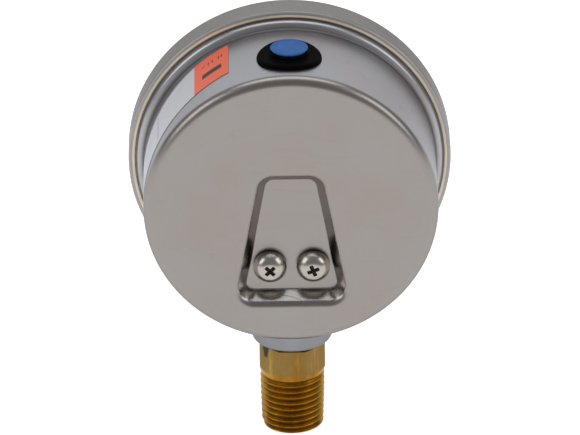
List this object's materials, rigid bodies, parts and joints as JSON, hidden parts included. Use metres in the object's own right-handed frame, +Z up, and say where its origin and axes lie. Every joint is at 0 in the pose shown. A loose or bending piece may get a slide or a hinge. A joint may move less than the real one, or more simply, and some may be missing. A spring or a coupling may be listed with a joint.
{
  "type": "pressure gauge",
  "caption": "Round dial pressure gauge in a drawn steel case, with a crimped bezel, a lower brass pipe thread and a rubber plug on top.",
  "frame": {"origin": "centre of the pipe thread's lower end, on the stem's axis", "axes": "+Z up the stem to the dial, -Y the way the dial faces, +Y the stamped back"},
  "size_m": [0.0686, 0.0339, 0.0897],
  "materials": {
    "stainless_case": "drawn stainless steel, satin, fine scratches",
    "stainless_bezel": "turned and rolled stainless steel, brushed round the ring",
    "clear_window": "clear moulded plastic window",
    "black_rubber": "moulded rubber",
    "zinc_screw": "zinc plated steel",
    "stem_brass": "machined brass, thread with darker roots",
    "block_brass": "sawn and milled brass",
    "tube_bronze": "drawn bronze tube",
    "movement_brass": "stamped brass",
    "pin_steel": "turned steel",
    "spring_bronze": "rolled bronze strip",
    "dial_white": "white enamel on aluminium",
    "pointer_black": "matt black paint",
    "plug_blue": "moulded plastic",
    "sticker_orange": "printed film",
    "sticker_white": "printed film"
  },
  "bodies": {
    "case": {"case": "stainless_case", "bezel_ring": "stainless_bezel", "window": "clear_window", "window_gasket": "black_rubber", "case_screws": "zinc_screw", "screw_washers": "black_rubber", "socket": "stem_brass", "restrictor_screw": "block_brass", "neck_seal": "black_rubber", "tube_block": "block_brass", "bourdon_tube": "tube_bronze", "movement_back_plate": "movement_brass", "movement_front_plate": "movement_brass", "movement_pillars": "movement_brass", "pillar_screws": "pin_steel", "block_screws": "pin_steel", "hairspring": "spring_bronze", "hairspring_stud": "movement_brass", "dial": "dial_white", "dial_posts": "movement_brass", "dial_screws": "zinc_screw", "stop_pin": "pin_steel", "fill_grommet": "black_rubber", "sticker_orange": "sticker_orange", "sticker_white": "sticker_white"},
    "pointer": {"pointer": "pointer_black", "pointer_hub": "pointer_black", "pointer_arbor": "pin_steel", "pinion": "pin_steel", "hairspring_collet": "movement_brass"},
    "sector": {"sector_gear": "movement_brass", "sector_arbor": "pin_steel", "tail_pin": "pin_steel"},
    "tube_end": {"tube_tip": "block_brass", "tip_pin": "pin_steel"},
    "link": {"link": "movement_brass"},
    "vent_plug": {"vent_plug": "plug_blue"}
  },
  "joints": [
    {"name": "pointer_turn", "type": "hinge", "parent": "case", "child": "pointer", "pos_m": [0, -0.015, 0.0554], "axis": [0, 1, 0], "range_deg": [0, 270], "deforming": ["hairspring"]},
    {"name": "sector_turn", "type": "hinge", "parent": "case", "child": "sector", "pos_m": [0.00833, -0.007, 0.04351], "axis": [0, -1, 0], "range_deg": [0, 27]},
    {"name": "tube_end_turn", "type": "hinge", "parent": "case", "child": "tube_end", "pos_m": [-0.0022, 0.0015, 0.06022], "axis": [0, -1, 0], "range_deg": [0, 7.93], "deforming": ["bourdon_tube"]},
    {"name": "link_turn", "type": "hinge", "parent": "tube_end", "child": "link", "pos_m": [0.018, -0.0062, 0.04458], "axis": [0, 1, 0], "range_deg": [0, 7.93]},
    {"name": "plug_pull", "type": "slide", "parent": "case", "child": "vent_plug", "axis": [0, 0, 1], "range_m": [0, 0.012]}
  ],
  "couplings": [
    {"joint": "sector_turn", "follows": "pointer_turn", "ratio": 0.1},
    {"joint": "tube_end_turn", "follows": "pointer_turn", "ratio": 0.029367},
    {"joint": "link_turn", "follows": "pointer_turn", "ratio": 0.029367}
  ]
}
